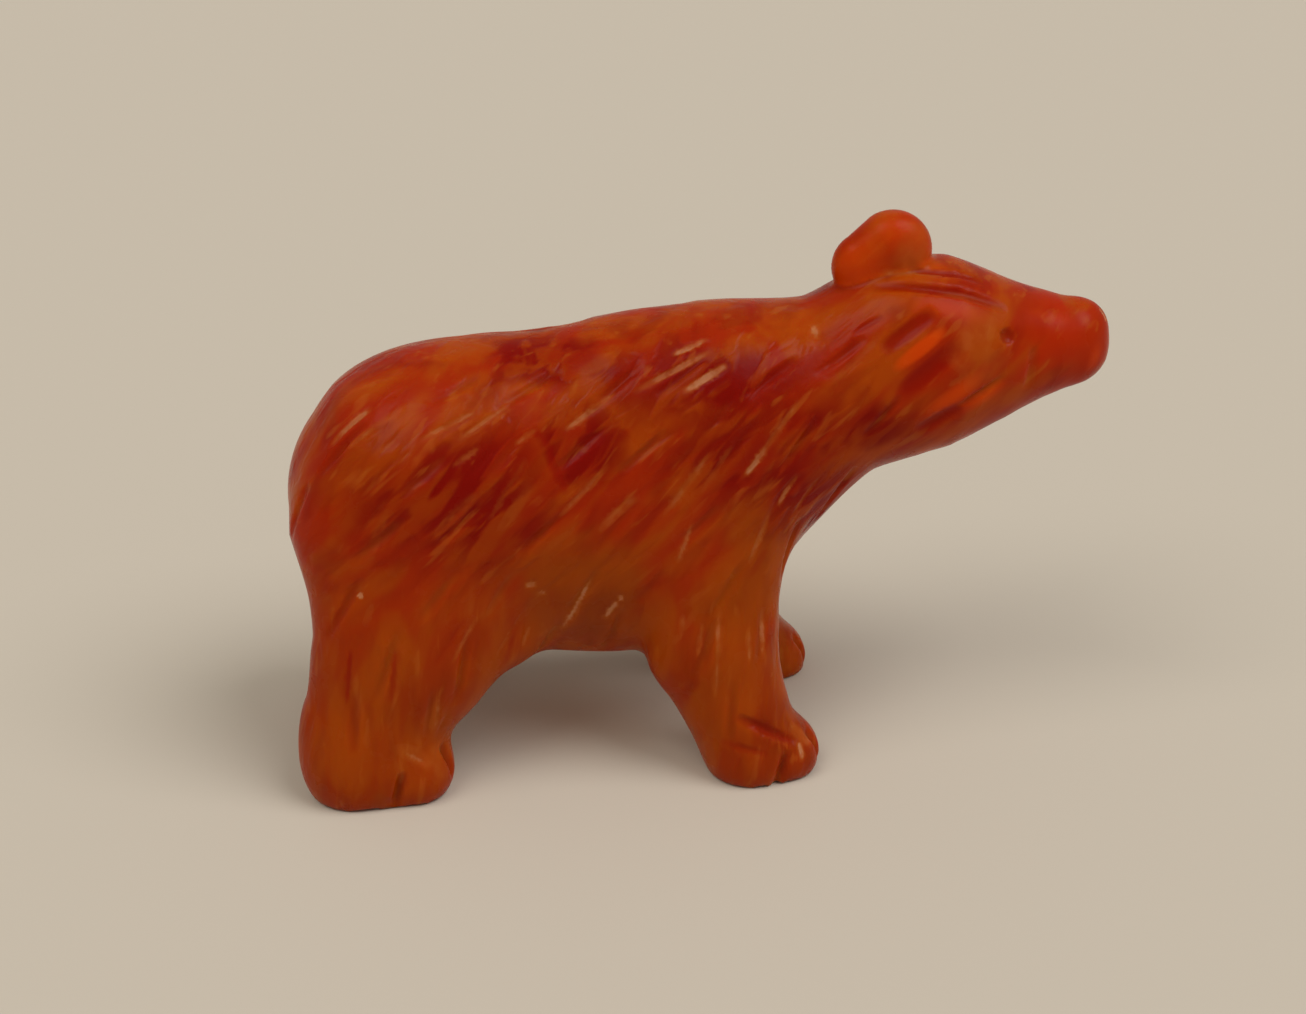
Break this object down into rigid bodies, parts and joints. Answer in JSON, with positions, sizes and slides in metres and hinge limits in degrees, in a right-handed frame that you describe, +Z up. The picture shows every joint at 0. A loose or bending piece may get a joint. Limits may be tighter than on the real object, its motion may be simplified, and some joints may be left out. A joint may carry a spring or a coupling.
{
  "type": "bear carving",
  "caption": "Small polished agate carving of a standing bear, head held forward, short wheel-cut fur strokes and flat-ground soles.",
  "frame": {"origin": "on the floor the soles stand on, under the middle of the bear's bounding box", "axes": "+X from the rump to the nose, +Z up, so +Y is the bear's left side"},
  "size_m": [0.05, 0.0188, 0.0333],
  "materials": {
    "agate": "polished"
  },
  "bodies": {
    "root": {"bear": "agate"}
  },
  "joints": []
}
